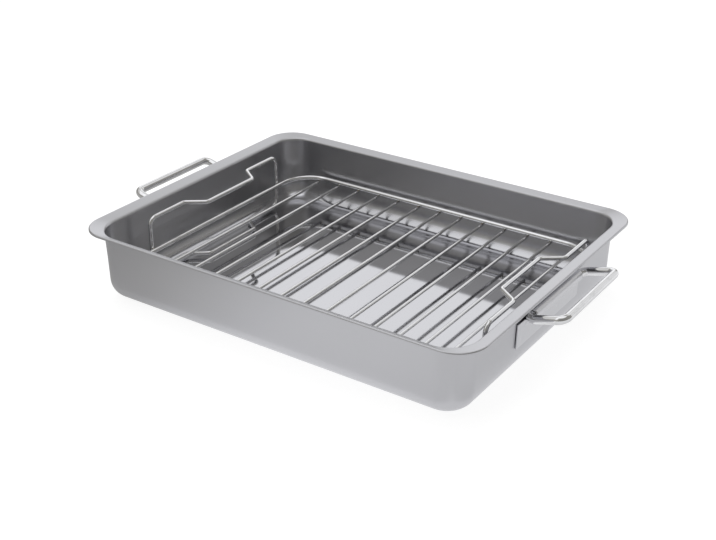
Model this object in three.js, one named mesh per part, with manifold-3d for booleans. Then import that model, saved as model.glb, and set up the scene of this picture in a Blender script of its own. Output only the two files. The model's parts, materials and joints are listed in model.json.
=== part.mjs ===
// Roasting pan with folding handles and a lift-out wire rack.
// Millimetres, +Z up, origin under the middle of the pan's flat base.
// X runs along the pan, Y from the front long side to the back one.

import * as THREE from 'three';
import { mergeVertices } from 'three/addons/utils/BufferGeometryUtils.js';
import Module from 'manifold-3d';

const wasm = await Module();
wasm.setup();

// Pan, pressed from one sheet
const PAN_LENGTH = 400;
const PAN_WIDTH = 308;
const PAN_HEIGHT = 67;
const SHEET = 0.8;
const END_FLANGE = 12;
const SIDE_FLANGE = 8;
const FLANGE_RISE = 2;
const RIM_CORNER = 28;
const RIM_BEND = 1.8;
const LIP_DROP = 2;
const LIP_BEND = 1.2;
const WALL_DRAFT = 1.2;
const BASE_FILLET = 17;
const BASE_CORNER = 8;

// Folding handles, each one bent wire
const HANDLE_WIRE = 7.5;
const HANDLE_SPAN = 101;
const HANDLE_REACH = 32.4;
const HANDLE_LIFT = 8.4;
const HANDLE_CORNER = 7;
const HANDLE_ELBOW = 8;
const HANDLE_TIP = 32;
const PIVOT_DROP = 15.5;

// Handle brackets, sheet plates rolled round the handles' tips
const BRACKET_SHEET = 1.2;
const BRACKET_MARGIN = 6;
const BRACKET_RISE = 8;
const SHOULDER_DROP = 4;
const SWELL_BEND = 7;
const SWELL_TUCK = THREE.MathUtils.degToRad(17);
const ROLL_WRAP = THREE.MathUtils.degToRad(240);
const ROLL_END_PLAY = 0.5;

// Rack: a ring of wire, cross wires welded under it, an upright frame at each end
const RING_WIRE = 4.5;
const RING_CORNER = 33;
const RING_HEIGHT = 27.7;
const RACK_END_ROOM = 10.5;
const RACK_SIDE_ROOM = 10;
const CROSS_WIRE = 3;
const CROSS_WIRE_COUNT = 13;
const CROSS_WIRE_OVERHANG = 1;
const FRAME_WIRE = 4;
const FRAME_CORNER = 8;
const TOP_BAR_DROP = 8.5;
const POST_INSET = 6;
const OUTER_RUN = 47;
const JOG_SLANT = 13;
const JOG_DEPTH = 18;
const JOG_BEND = 5;

// The rack lies loose in the pan, a little off its middle
const RACK_SHIFT_X = 2;
const RACK_SHIFT_Y = 5;

// Clearances between pieces
const WELD_GAP = 0.3;
const PIVOT_PLAY = 0.3;
const REST_GAP = 0.3;

// Fineness of the facets
const CORNER_SEGMENTS = 5;
const FILLET_STEPS = 7;
const BEND_STEPS = 4;
const ROLL_SEGMENTS = 10;
const WIRE_SEGMENTS = 5;
const BEND_STEP = THREE.MathUtils.degToRad(15);
const MERGE_TOLERANCE = 1e-4;

// Places that several pieces share
const wallTop = { x: PAN_LENGTH / 2 - END_FLANGE, y: PAN_WIDTH / 2 - SIDE_FLANGE };
const wallTopZ = PAN_HEIGHT - FLANGE_RISE - SHEET - RIM_BEND;
const wallCorner = BASE_CORNER + BASE_FILLET + WALL_DRAFT;
const filletAxisX = wallTop.x - WALL_DRAFT - BASE_FILLET;
const pivotZ = PAN_HEIGHT - PIVOT_DROP;
const rollInner = HANDLE_WIRE / 2 + PIVOT_PLAY;
const rollOuter = rollInner + BRACKET_SHEET;
const pivotX = wallLean(pivotZ) + WELD_GAP + rollOuter;

// Rack places, in the rack's own middle
const framePlaneX = wallTop.x - SHEET - RACK_END_ROOM - FRAME_WIRE / 2;
const ringHalfX = framePlaneX - FRAME_WIRE / 2 - WELD_GAP - RING_WIRE / 2;
const ringHalfY = wallTop.y - SHEET - RACK_SIDE_ROOM - RING_WIRE / 2;
const ringZ = SHEET + RING_HEIGHT;
const crossWireZ = ringZ - RING_WIRE / 2 - WELD_GAP - CROSS_WIRE / 2;
const postY = ringHalfY - RING_CORNER - POST_INSET;
const topBarZ = PAN_HEIGHT - TOP_BAR_DROP;
const footBarZ = footHeight(framePlaneX + Math.abs(RACK_SHIFT_X));

// How far out the end wall's outer face stands at a height above the base fillet
function wallLean(z) {
  const share = (z - BASE_FILLET) / (wallTopZ - BASE_FILLET);
  return wallTop.x - WALL_DRAFT * (1 - share);
}

// Height of a foot bar's middle where it rests on the floor or on the end fillet
function footHeight(x) {
  const reach = BASE_FILLET - SHEET - REST_GAP - FRAME_WIRE / 2;
  const past = Math.max(0, x - filletAxisX);
  return BASE_FILLET - Math.sqrt(reach * reach - past * past);
}

const panSteel = new THREE.MeshStandardMaterial({ color: 0xb4b5b8, roughness: 0.34, metalness: 1 });
const bracketSteel = new THREE.MeshStandardMaterial({ color: 0xbcbdc0, roughness: 0.3, metalness: 1 });
const handleSteel = new THREE.MeshStandardMaterial({ color: 0xc6c7ca, roughness: 0.2, metalness: 1 });
const rackSteel = new THREE.MeshStandardMaterial({ color: 0xc9cacd, roughness: 0.18, metalness: 1 });

function named(name, geometry, material) {
  const mesh = new THREE.Mesh(geometry, material);
  mesh.name = name;
  return mesh;
}

// Leaves only positions, with shared corners merged
function welded(geometry) {
  const plain = new THREE.BufferGeometry();
  plain.setAttribute('position', geometry.getAttribute('position'));
  plain.setIndex(geometry.getIndex());
  return mergeVertices(plain, MERGE_TOLERANCE);
}

// A wire's route: straight runs joined by round bends, as stations with their tangents
class WireRoute extends THREE.Curve {
  constructor(corners, closed) {
    super();
    this.closed = closed;
    this.points = [];
    this.tangents = [];
    corners.forEach((corner, k) => this.addCorner(corners, corner, k));
    if (closed) this.addStation(this.points[0], this.tangents[0]);
  }

  addStation(point, tangent) {
    this.points.push(point.clone());
    this.tangents.push(tangent.clone());
  }

  addCorner(corners, { at, bend }, k) {
    const count = corners.length;
    const before = corners[(k + count - 1) % count].at;
    const after = corners[(k + 1) % count].at;
    const incoming = at.clone().sub(before).normalize();
    const outgoing = after.clone().sub(at).normalize();
    const isStart = k === 0 && !this.closed;
    const isEnd = k === count - 1 && !this.closed;
    if (isStart || isEnd) {
      this.addStation(at, isStart ? outgoing : incoming);
      return;
    }
    const turn = incoming.angleTo(outgoing);
    const across = outgoing.clone().addScaledVector(incoming, -Math.cos(turn)).normalize();
    const start = at.clone().addScaledVector(incoming, -bend * Math.tan(turn / 2));
    const steps = Math.ceil(turn / BEND_STEP);
    for (let i = 0; i <= steps; i++) {
      const angle = turn * i / steps;
      const point = start.clone().addScaledVector(incoming, bend * Math.sin(angle));
      point.addScaledVector(across, bend * (1 - Math.cos(angle)));
      const tangent = incoming.clone().multiplyScalar(Math.cos(angle));
      tangent.addScaledVector(across, Math.sin(angle));
      this.addStation(point, tangent);
    }
  }

  get steps() {
    return this.points.length - 1;
  }

  getPointAt(u, target = new THREE.Vector3()) {
    return target.copy(this.points[Math.round(u * this.steps)]);
  }

  getTangentAt(u, target = new THREE.Vector3()) {
    return target.copy(this.tangents[Math.round(u * this.steps)]);
  }
}

// Round wire along a route: an open one has flat ends, a closed one runs on without any
function wire(route, diameter) {
  const section = new THREE.Shape().absarc(0, 0, diameter / 2, 0, 2 * Math.PI);
  const swept = new THREE.ExtrudeGeometry(section, {
    steps: route.steps,
    curveSegments: WIRE_SEGMENTS,
    bevelEnabled: false,
    extrudePath: route,
  });
  if (!route.closed) return welded(swept);
  const sides = swept.groups[1];
  const all = swept.getAttribute('position').array;
  const kept = all.slice(sides.start * 3, (sides.start + sides.count) * 3);
  const loop = new THREE.BufferGeometry();
  loop.setAttribute('position', new THREE.BufferAttribute(kept, 3));
  return welded(loop);
}

function corner(x, y, z, bend = 0) {
  return { at: new THREE.Vector3(x, y, z), bend };
}

// One level of the pan: a rounded rectangle, drawn in from a given outline
function level({ x, y, radius }, inset, z) {
  const r = radius - inset;
  const cx = x - radius;
  const cy = y - radius;
  const shape = new THREE.Shape();
  shape.absarc(cx, cy, r, 0, Math.PI / 2);
  shape.absarc(-cx, cy, r, Math.PI / 2, Math.PI);
  shape.absarc(-cx, -cy, r, Math.PI, 1.5 * Math.PI);
  shape.absarc(cx, -cy, r, 1.5 * Math.PI, 2 * Math.PI);
  return { points: shape.getPoints(CORNER_SEGMENTS), z };
}

// Levels along a bend in the sheet, by its centre, radius and two end angles in degrees
function bendLevels(outline, centreInset, centreZ, radius, from, to, steps) {
  const levels = [];
  for (let i = 0; i <= steps; i++) {
    const angle = THREE.MathUtils.degToRad(from + (to - from) * i / steps);
    levels.push(level(outline, centreInset - radius * Math.cos(angle), centreZ + radius * Math.sin(angle)));
  }
  return levels;
}

// Closed skin through a run of levels, capped flat at the first and the last
function loft(levels) {
  const count = levels[0].points.length;
  const positions = levels.flatMap(({ points, z }) => points.flatMap((p) => [p.x, p.y, z]));
  const index = [];
  for (let row = 0; row + 1 < levels.length; row++) {
    for (let k = 0; k < count; k++) {
      const a = row * count + k;
      const b = row * count + (k + 1) % count;
      index.push(a, b, b + count, a, b + count, a + count);
    }
  }
  const last = (levels.length - 1) * count;
  for (const [i, j, k] of THREE.ShapeUtils.triangulateShape(levels[0].points, [])) {
    index.push(i, k, j);
    index.push(last + i, last + j, last + k);
  }
  const geometry = new THREE.BufferGeometry();
  geometry.setAttribute('position', new THREE.Float32BufferAttribute(positions, 3));
  geometry.setIndex(index);
  return geometry;
}

// Pan: up the outer face, round the rising flange and its turned-down lip, and down the inner face
function panGeometry() {
  const wall = { ...wallTop, radius: wallCorner };
  const rim = { x: PAN_LENGTH / 2, y: PAN_WIDTH / 2, radius: RIM_CORNER };
  const filletInset = WALL_DRAFT + BASE_FILLET;
  const bendOuter = RIM_BEND + SHEET;
  const lipInner = LIP_BEND - SHEET;
  const lipZ = PAN_HEIGHT - LIP_BEND;
  const lipEdge = PAN_HEIGHT - LIP_DROP;
  return loft([
    ...bendLevels(wall, filletInset, BASE_FILLET, BASE_FILLET, -90, 0, FILLET_STEPS),
    ...bendLevels(wall, -RIM_BEND, wallTopZ, RIM_BEND, 180, 90, BEND_STEPS),
    ...bendLevels(rim, LIP_BEND, lipZ, lipInner, 90, 0, BEND_STEPS),
    level(rim, SHEET, lipEdge),
    level(rim, 0, lipEdge),
    ...bendLevels(rim, LIP_BEND, lipZ, LIP_BEND, 0, 90, BEND_STEPS),
    ...bendLevels(wall, -RIM_BEND, wallTopZ, bendOuter, 90, 180, BEND_STEPS),
    ...bendLevels(wall, filletInset, BASE_FILLET, BASE_FILLET - SHEET, 0, -90, FILLET_STEPS),
  ]);
}

// A profile drawn in X and Z, stretched evenly to both sides of the pan's middle
function acrossPan(profile, width) {
  const geometry = new THREE.ExtrudeGeometry(profile, {
    depth: width,
    curveSegments: ROLL_SEGMENTS,
    bevelEnabled: false,
  });
  geometry.rotateX(Math.PI / 2);
  geometry.translate(0, width / 2, 0);
  return welded(geometry);
}

function solidOf(geometry) {
  return new wasm.Manifold(new wasm.Mesh({
    numProp: 3,
    vertProperties: new Float32Array(geometry.getAttribute('position').array),
    triVerts: new Uint32Array(geometry.getIndex().array),
  }));
}

function geometryOf(solid) {
  const mesh = solid.getMesh();
  const geometry = new THREE.BufferGeometry();
  geometry.setAttribute('position', new THREE.Float32BufferAttribute(mesh.vertProperties, 3));
  geometry.setIndex(Array.from(mesh.triVerts));
  return geometry;
}

// Bracket for the +X end: a plate flat on the wall, its middle swelling out to a roll round the pivot
function bracketGeometry() {
  const bottomZ = BASE_FILLET + BRACKET_RISE;
  const shoulderZ = pivotZ - SHOULDER_DROP;
  const inner = (z) => wallLean(z) + WELD_GAP;
  const outer = (z) => inner(z) + BRACKET_SHEET;

  const plate = new THREE.Shape();
  plate.moveTo(inner(bottomZ), bottomZ);
  plate.lineTo(outer(bottomZ), bottomZ);
  plate.lineTo(outer(shoulderZ), shoulderZ);
  plate.lineTo(inner(shoulderZ), shoulderZ);

  // The swell starts a little inside the plate, so that the two join
  const swellX = outer(pivotZ - rollOuter - SWELL_BEND) + SWELL_BEND - BRACKET_SHEET / 10;
  const swellZ = pivotZ - Math.sqrt((SWELL_BEND + rollOuter) ** 2 - (swellX - pivotX) ** 2);
  const swellBack = Math.PI - SWELL_TUCK;
  const meet = Math.atan2(pivotZ - swellZ, pivotX - swellX);
  const rollStart = meet - Math.PI;
  const rollEnd = rollStart + ROLL_WRAP;
  const swell = new THREE.Shape();
  swell.absarc(swellX, swellZ, SWELL_BEND, Math.PI, meet, true);
  swell.absarc(pivotX, pivotZ, rollOuter, rollStart, rollEnd, false);
  swell.absarc(pivotX, pivotZ, rollInner, rollEnd, rollStart, true);
  swell.absarc(swellX, swellZ, SWELL_BEND + BRACKET_SHEET, meet, swellBack, false);

  const plateWidth = HANDLE_SPAN + 2 * BRACKET_MARGIN;
  const rollWidth = HANDLE_SPAN - 2 * HANDLE_ELBOW - 2 * ROLL_END_PLAY;
  const joined = solidOf(acrossPan(plate, plateWidth)).add(solidOf(acrossPan(swell, rollWidth)));
  return geometryOf(joined);
}

// Handle lying flat towards +X, its pivot line on the Y axis, its tips turned in
function handleGeometry() {
  const armY = HANDLE_SPAN / 2;
  const tipY = armY - HANDLE_TIP;
  return wire(new WireRoute([
    corner(0, -tipY, 0),
    corner(0, -armY, 0, HANDLE_ELBOW),
    corner(HANDLE_REACH, -armY, 0, HANDLE_CORNER),
    corner(HANDLE_REACH, armY, 0, HANDLE_CORNER),
    corner(0, armY, 0, HANDLE_ELBOW),
    corner(0, tipY, 0),
  ], false), HANDLE_WIRE);
}

// One end of the pan: its bracket, and its handle with the grip lifted above the pivot
function handleEnd(side) {
  const end = new THREE.Group();
  end.add(named(`handle_bracket_${side}`, bracketGeometry(), bracketSteel));
  const handle = named(`handle_${side}`, handleGeometry(), handleSteel);
  handle.position.set(pivotX, 0, pivotZ);
  handle.rotation.y = -Math.asin(HANDLE_LIFT / HANDLE_REACH);
  end.add(handle);
  return end;
}

function ringGeometry() {
  return wire(new WireRoute([
    corner(ringHalfX, ringHalfY, 0, RING_CORNER),
    corner(-ringHalfX, ringHalfY, 0, RING_CORNER),
    corner(-ringHalfX, -ringHalfY, 0, RING_CORNER),
    corner(ringHalfX, -ringHalfY, 0, RING_CORNER),
  ], true), RING_WIRE);
}

// Half the length of a cross wire: it ends just past the ring's middle line
function crossWireReach(x) {
  const intoCorner = Math.max(0, Math.abs(x) - (ringHalfX - RING_CORNER));
  const drop = RING_CORNER - Math.sqrt(RING_CORNER * RING_CORNER - intoCorner * intoCorner);
  return ringHalfY - drop + CROSS_WIRE_OVERHANG;
}

function crossWireGeometry(x) {
  const reach = crossWireReach(x);
  return wire(new WireRoute([corner(0, -reach, 0), corner(0, reach, 0)], false), CROSS_WIRE);
}

// Upright frame for the +X end: two posts, a top bar to lift by and a foot bar, both stepped inwards
function endFrameGeometry() {
  const jogOuterY = postY - OUTER_RUN;
  const jogInnerY = jogOuterY - JOG_SLANT;
  const bar = (z, toward) => [
    corner(0, -toward * postY, z, FRAME_CORNER),
    corner(0, -toward * jogOuterY, z, JOG_BEND),
    corner(-JOG_DEPTH, -toward * jogInnerY, z, JOG_BEND),
    corner(-JOG_DEPTH, toward * jogInnerY, z, JOG_BEND),
    corner(0, toward * jogOuterY, z, JOG_BEND),
    corner(0, toward * postY, z, FRAME_CORNER),
  ];
  return wire(new WireRoute([...bar(footBarZ, 1), ...bar(topBarZ, -1)], true), FRAME_WIRE);
}

function rackEnd(side) {
  const end = new THREE.Group();
  const frame = named(`rack_end_frame_${side}`, endFrameGeometry(), rackSteel);
  frame.position.x = framePlaneX;
  end.add(frame);
  return end;
}

function rack() {
  const group = new THREE.Group();
  group.position.set(RACK_SHIFT_X, RACK_SHIFT_Y, 0);
  const ring = named('rack_ring', ringGeometry(), rackSteel);
  ring.position.z = ringZ;
  group.add(ring);
  const pitch = 2 * ringHalfX / (CROSS_WIRE_COUNT + 1);
  for (let k = 1; k <= CROSS_WIRE_COUNT; k++) {
    const x = k * pitch - ringHalfX;
    const name = `rack_wire_${String(k).padStart(2, '0')}`;
    const crossWire = named(name, crossWireGeometry(x), rackSteel);
    crossWire.position.set(x, 0, crossWireZ);
    group.add(crossWire);
  }
  const leftEnd = rackEnd('left');
  leftEnd.rotation.z = Math.PI;
  group.add(leftEnd, rackEnd('right'));
  return group;
}

const roastingPan = new THREE.Group();
roastingPan.add(named('pan_body', panGeometry(), panSteel));
const leftHandleEnd = handleEnd('left');
leftHandleEnd.rotation.z = Math.PI;
roastingPan.add(leftHandleEnd, handleEnd('right'));
roastingPan.add(rack());

export default roastingPan;
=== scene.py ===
import json
import math

import bpy
from bpy.props import FloatProperty, FloatVectorProperty, PointerProperty
from mathutils import Matrix, Vector, noise


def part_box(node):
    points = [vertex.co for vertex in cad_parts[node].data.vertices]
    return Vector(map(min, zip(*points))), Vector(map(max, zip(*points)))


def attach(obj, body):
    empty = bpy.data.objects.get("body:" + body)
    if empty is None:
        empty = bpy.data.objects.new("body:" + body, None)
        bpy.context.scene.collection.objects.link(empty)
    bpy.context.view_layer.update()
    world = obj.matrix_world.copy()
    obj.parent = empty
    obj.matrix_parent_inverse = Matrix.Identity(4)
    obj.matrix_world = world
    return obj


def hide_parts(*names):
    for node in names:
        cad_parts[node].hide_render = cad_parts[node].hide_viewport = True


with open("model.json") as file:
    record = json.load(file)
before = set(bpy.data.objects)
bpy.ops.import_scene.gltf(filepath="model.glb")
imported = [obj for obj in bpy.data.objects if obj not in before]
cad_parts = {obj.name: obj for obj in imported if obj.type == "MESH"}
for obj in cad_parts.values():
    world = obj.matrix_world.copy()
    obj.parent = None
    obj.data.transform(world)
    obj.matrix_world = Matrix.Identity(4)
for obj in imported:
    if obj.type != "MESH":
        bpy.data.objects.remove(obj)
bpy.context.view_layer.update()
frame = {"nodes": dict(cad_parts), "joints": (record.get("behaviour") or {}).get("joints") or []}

bl_info = {
    "name": "Roasting pan with rack",
    "version": (1, 0, 0),
    "blender": (4, 5, 0),
    "location": "View3D > Sidebar > Roasting pan",
    "description": "Pressed steel pan with folding wire handles and a lift-out wire rack",
    "category": "Add Mesh",
}

MM = 0.001
PAN_LOW, PAN_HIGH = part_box("pan_body")
RING_LOW, RING_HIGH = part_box("rack_ring")
RACK_MIDDLE = (RING_LOW + RING_HIGH) / 2
PIVOTS = {joint["child"]: Vector(joint["pos_m"]) for joint in frame["joints"] if "pos_m" in joint}
CROSS_WIRES = sorted(name for name in frame["nodes"] if name.startswith("rack_wire_"))

# Fineness of the meshes
CORNER_STEPS = 18
SIDE_STEPS = 26
FILLET_STEPS = 16
BEND_STEPS = 7
SWELL_STEPS = 12
ROLL_STEPS = 36
CUT_STEPS = 3
WIRE_SIDES = 24
BEAD_ROWS = 7
BEAD_SIDES = 14
BEND_ANGLE = math.radians(4)
RUN_STEP = 9 * MM
SHEET_STEP = 1.3 * MM

# Levels of the pan's mesh: insets on the base, shares of the wall's height and of the flange's width
BASE_INSETS = [inset * MM for inset in (112, 98, 84, 70, 56, 43, 31, 20, 11, 5, 1.5)]
WALL_LEVELS = (0.03, 0.12, 0.25, 0.4, 0.55, 0.7, 0.84, 0.94, 0.985)
FLANGE_LEVELS = (0.08, 0.3, 0.7, 0.92)

# Points round a level: the share of a side next to each corner, and the smallest corner radius
SIDE_MARGIN = 0.008
SMALLEST_CORNER = 0.4 * MM

# Degrees by which the bends beside the flange turn past level
FLANGE_CLIMB = 15

# Unevenness of the base's crown: its share of the crown, and about how many waves there are in a metre
CROWN_RIPPLE = 0.3
RIPPLE_SCALE = 14

# Spot welds on a bracket: height as a share of the plate's, places as shares of half its width
SPOT_LEVEL = 0.3
SPOT_PLACES = (-0.86, -0.3, 0.3, 0.86)

# How far past the roll's ends the bracket's swelling eases back to the plate
ROLL_EASE = 3 * MM

# Welds on the rack: half length of a butt weld, its place round the ring, and the beads' half sizes
SEAM_REACH = 1.6 * MM
SEAM_PLACE = 0.31
CROSS_BEAD = (1.5 * MM, 1.9 * MM, 0.9 * MM)
POST_BEAD = (0.9 * MM, 1.9 * MM, 2.0 * MM)


def size(label, millimetres, description):
    """A length, given in millimetres and kept in metres."""
    return FloatProperty(
        name=label,
        description=description,
        default=millimetres * MM,
        min=0.0,
        precision=4,
        unit="LENGTH",
        subtype="DISTANCE",
    )


def angle(label, degrees, description):
    """An angle, given in degrees and kept in radians."""
    return FloatProperty(
        name=label,
        description=description,
        default=math.radians(degrees),
        unit="ROTATION",
        subtype="ANGLE",
    )


def share(label, default, description):
    """A plain number from 0 to 1."""
    return FloatProperty(
        name=label,
        description=description,
        default=default,
        min=0.0,
        max=1.0,
        subtype="FACTOR",
    )


def level(label, default, description):
    """A brightness, where 1 is white."""
    return FloatProperty(name=label, description=description, default=default, min=0.0)


def colour(label, default, description):
    """A linear colour."""
    return FloatVectorProperty(
        name=label,
        description=description,
        default=default,
        min=0.0,
        max=1.0,
        size=3,
        subtype="COLOR",
    )


def place(label, default, description):
    """A point in metres."""
    return FloatVectorProperty(
        name=label,
        description=description,
        default=default,
        size=3,
        unit="LENGTH",
        subtype="TRANSLATION",
    )


class PanSizes(bpy.types.PropertyGroup):
    """Sizes of the pressed pan"""

    length: size("Length", (PAN_HIGH.x - PAN_LOW.x) / MM, "Over the flanges of the short ends")
    width: size("Width", (PAN_HIGH.y - PAN_LOW.y) / MM, "Over the flanges of the long sides")
    height: size("Height", PAN_HIGH.z / MM, "From the base to the top of the flange")
    sheet: size("Sheet", 0.8, "Thickness of the sheet")
    end_flange: size("End flange", 12, "Flange on the short ends, from wall to edge")
    side_flange: size("Side flange", 8, "Flange on the long sides, from wall to edge")
    flange_rise: size("Flange rise", 2, "How far the flange climbs from the wall to its edge")
    rim_corner: size("Rim corner", 28, "Radius of the flange's corners in plan")
    rim_bend: size("Rim bend", 1.8, "Radius under the bend from wall to flange")
    lip_drop: size("Lip drop", 2, "How far the flange's edge is turned down")
    lip_bend: size("Lip bend", 1.2, "Radius over the bend from flange to lip")
    edge_round: size("Edge round", 0.18, "Rounding of the lip's cut edge")
    wall_draft: size("Wall draft", 1.2, "How far the walls lean in from rim to base")
    wall_bow: size("Wall bow", 0.16, "How far the walls sink in between rim and base")
    base_fillet: size("Base fillet", 17, "Radius outside the bend from base to wall")
    base_corner: size("Base corner", 8, "Corner radius of the flat base in plan")
    base_crown: size("Base crown", 0.35, "How far the middle of the base stands up")


class HandleSizes(bpy.types.PropertyGroup):
    """Sizes of the folding handles and their brackets"""

    wire: size("Wire", 7.5, "Diameter of the handle wire")
    span: size("Span", 101, "Between the middles of a handle's two arms")
    reach: size("Reach", 32.4, "From the pivot line to the middle of the grip")
    lift: size("Lift", 8.4, "How far the grip stands above the pivot line")
    grip_corner: size("Grip corner", 7, "Bend radius between arm and grip")
    elbow: size("Elbow", 8, "Bend radius between arm and turned-in tip")
    tip: size("Tip", 32, "Length of each turned-in tip, from the arm's middle")
    sheet: size("Bracket sheet", 1.2, "Thickness of the bracket's sheet")
    margin: size("Bracket margin", 6, "How far the plate reaches past the arms")
    rise: size("Bracket rise", 8, "From the top of the base fillet to the plate's lower edge")
    shoulder: size("Shoulder", 4, "From the pivot line down to the plate's shoulders")
    play: size("Play", 0.3, "Room between wire and roll, and between plate and wall")
    roll_end_play: size("Roll end play", 0.5, "Room between the roll's ends and the elbows")
    swell_bend: size("Swell bend", 7, "Bend radius where the plate swells out to the roll")
    roll_wrap: angle("Roll wrap", 240, "How far the sheet is rolled round the tips")
    weld_spot: size("Weld spot", 2.6, "Radius of a spot weld on the plate")
    weld_depth: size("Weld depth", 0.22, "How deep a spot weld is pressed in")


class RackSizes(bpy.types.PropertyGroup):
    """Sizes of the wire rack"""

    ring_wire: size("Ring wire", 4.5, "Diameter of the ring's wire")
    ring_length: size("Ring length", 340.3, "Between the middles of the ring's ends")
    ring_width: size("Ring width", 265.9, "Between the middles of the ring's sides")
    ring_corner: size("Ring corner", 33, "Bend radius of the ring's corners")
    cross_wire: size("Cross wire", 3, "Diameter of the cross wires")
    cross_gap: size("Cross wire gap", 0.3, "Weld gap between the ring and the wires under it")
    overhang: size("Overhang", 1, "How far a cross wire runs past the ring's middle line")
    frame_wire: size("Frame wire", 4, "Diameter of the end frames' wire")
    frame_spacing: size("Frame spacing", 349.4, "Between the two end frames' posts")
    post_spacing: size("Post spacing", 187.9, "Between the middles of a frame's posts")
    top_bar: size("Top bar", 58.5, "Height of the top bars' middle")
    foot_bar: size("Foot bar", 4.93, "Height of the foot bars' middle")
    frame_corner: size("Frame corner", 8, "Bend radius between posts and bars")
    outer_run: size("Outer run", 47, "Straight run of a bar from post to step")
    jog_slant: size("Step slant", 13, "How much of a bar's length its step takes")
    jog_depth: size("Step depth", 18, "How far a bar's middle is stepped inwards")
    jog_bend: size("Step bend", 5, "Bend radius at the steps")
    seam_swell: size("Seam swell", 0.16, "How far a butt weld stands out from its wire")


class SteelLooks(bpy.types.PropertyGroup):
    """Colours and finishes of the steel"""

    sheet_colour: colour("Sheet", (0.58, 0.58, 0.602), "Reflection of the pan's sheet")
    # Painted light: the brackets get a lighter reflection than the pan's sheet, to lift the shade on
    # their plates and rolls under the flange and handles
    bracket_colour: colour("Bracket", (0.7, 0.7, 0.722), "Reflection of the brackets")
    wire_colour: colour("Wire", (0.82, 0.82, 0.83), "Reflection of the polished wire")
    weld_colour: colour("Weld", (0.44, 0.43, 0.42), "Reflection of the weld beads")
    base_roughness: share("Base roughness", 0.06, "Roughness of the pan's base")
    rim_roughness: share("Flange roughness", 0.34, "Roughness of the pan's flange")
    wall_roughness: share("Wall roughness", 0.3, "Roughness of the pan's walls")
    bracket_roughness: share("Bracket roughness", 0.33, "Roughness of the brackets")
    wire_roughness: share("Wire roughness", 0.08, "Roughness of the polished wire")

    def sheet_finish(self):
        """Roughness of the pan's base, walls and flange."""
        return self.base_roughness, self.wall_roughness, self.rim_roughness

    def bracket_finish(self):
        """Roughness of the brackets, the same on every face."""
        return self.bracket_roughness, self.bracket_roughness, self.bracket_roughness


class StageLooks(bpy.types.PropertyGroup):
    """Camera and studio"""

    camera: place("Camera", (0.545436, -0.806546, 0.513987), "Where the camera stands")
    target: place("Target", (-0.009119, 0.010038, 0.011659), "What the camera looks at")
    lens: FloatProperty(name="Lens", description="Focal length", default=60.16, unit="CAMERA")
    floor_colour: colour("Floor", (0.3, 0.3, 0.303), "Colour of the floor under the lamps")
    floor_shown: level("Floor shown", 0.87, "Light that the camera sees the floor give off")
    # The floor light that the steel sees is a painted glow: dim at the left, bright in front, at the
    # right and behind, and raised at the pan's foot as painted bounce light
    floor_dim: level("Floor dim", 0.2, "Light that the steel sees from the floor at the left")
    floor_lit: level("Floor lit", 0.64, "Light that the steel sees from the floor in front")
    floor_side: level("Floor side", 0.58, "Light that the steel sees from the floor at the right")
    floor_behind: level("Floor behind", 0.8, "Light that the steel sees from the floor behind")
    floor_foot: level("Floor at the foot", 0.34, "Share by which the floor is brighter at the pan's foot")
    sweep: level("Sweep", 1.12, "Brightness of the bright sweep behind the pan")
    ceiling: level("Ceiling", 1.1, "Brightness straight above")
    panel: level("Light panel", 1.12, "Brightness of the wide light overhead at the left")
    strip: level("Strip light", 0.85, "Brightness of the small light high behind the pan")
    side: level("Side light", 0.85, "Brightness of the soft light low behind the pan at the right")
    back_room: level("Back of the room", 0.3, "Brightness of the studio's back beside the sweep")
    front_room: level("Front of the room", 0.4, "Brightness of the studio at the front left")
    far_room: level("Side of the room", 0.24, "Brightness of the studio at the front right")


class RoastingPan(bpy.types.PropertyGroup):
    """All sizes and looks"""

    pan: PointerProperty(type=PanSizes)
    handle: PointerProperty(type=HandleSizes)
    rack: PointerProperty(type=RackSizes)
    steel: PointerProperty(type=SteelLooks)
    stage: PointerProperty(type=StageLooks)


def values():
    return bpy.context.scene.roasting_pan


# Shader graphs


class Signal:
    """A node's output. Arithmetic on a number adds the Math nodes."""

    def __init__(self, graph, socket):
        self.graph = graph
        self.socket = socket

    def combine(self, operation, first, second):
        return self.graph.add("ShaderNodeMath", {"operation": operation}, {0: first, 1: second})[0]

    def __add__(self, other):
        return self.combine("ADD", self, other)

    def __radd__(self, other):
        return self.combine("ADD", other, self)

    def __sub__(self, other):
        return self.combine("SUBTRACT", self, other)

    def __rsub__(self, other):
        return self.combine("SUBTRACT", other, self)

    def __mul__(self, other):
        return self.combine("MULTIPLY", self, other)

    def __rmul__(self, other):
        return self.combine("MULTIPLY", other, self)

    def __abs__(self):
        return self.graph.add("ShaderNodeMath", {"operation": "ABSOLUTE"}, {0: self})[0]


class Outputs:
    """The outputs of a node, by index or name."""

    def __init__(self, graph, node):
        self.graph = graph
        self.node = node

    def __getitem__(self, key):
        return Signal(self.graph, port(self.node.outputs, key))


def port(sockets, key):
    usable = [socket for socket in sockets if socket.enabled]
    if isinstance(key, int):
        return usable[key]
    return next(socket for socket in usable if socket.name == key)


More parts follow.
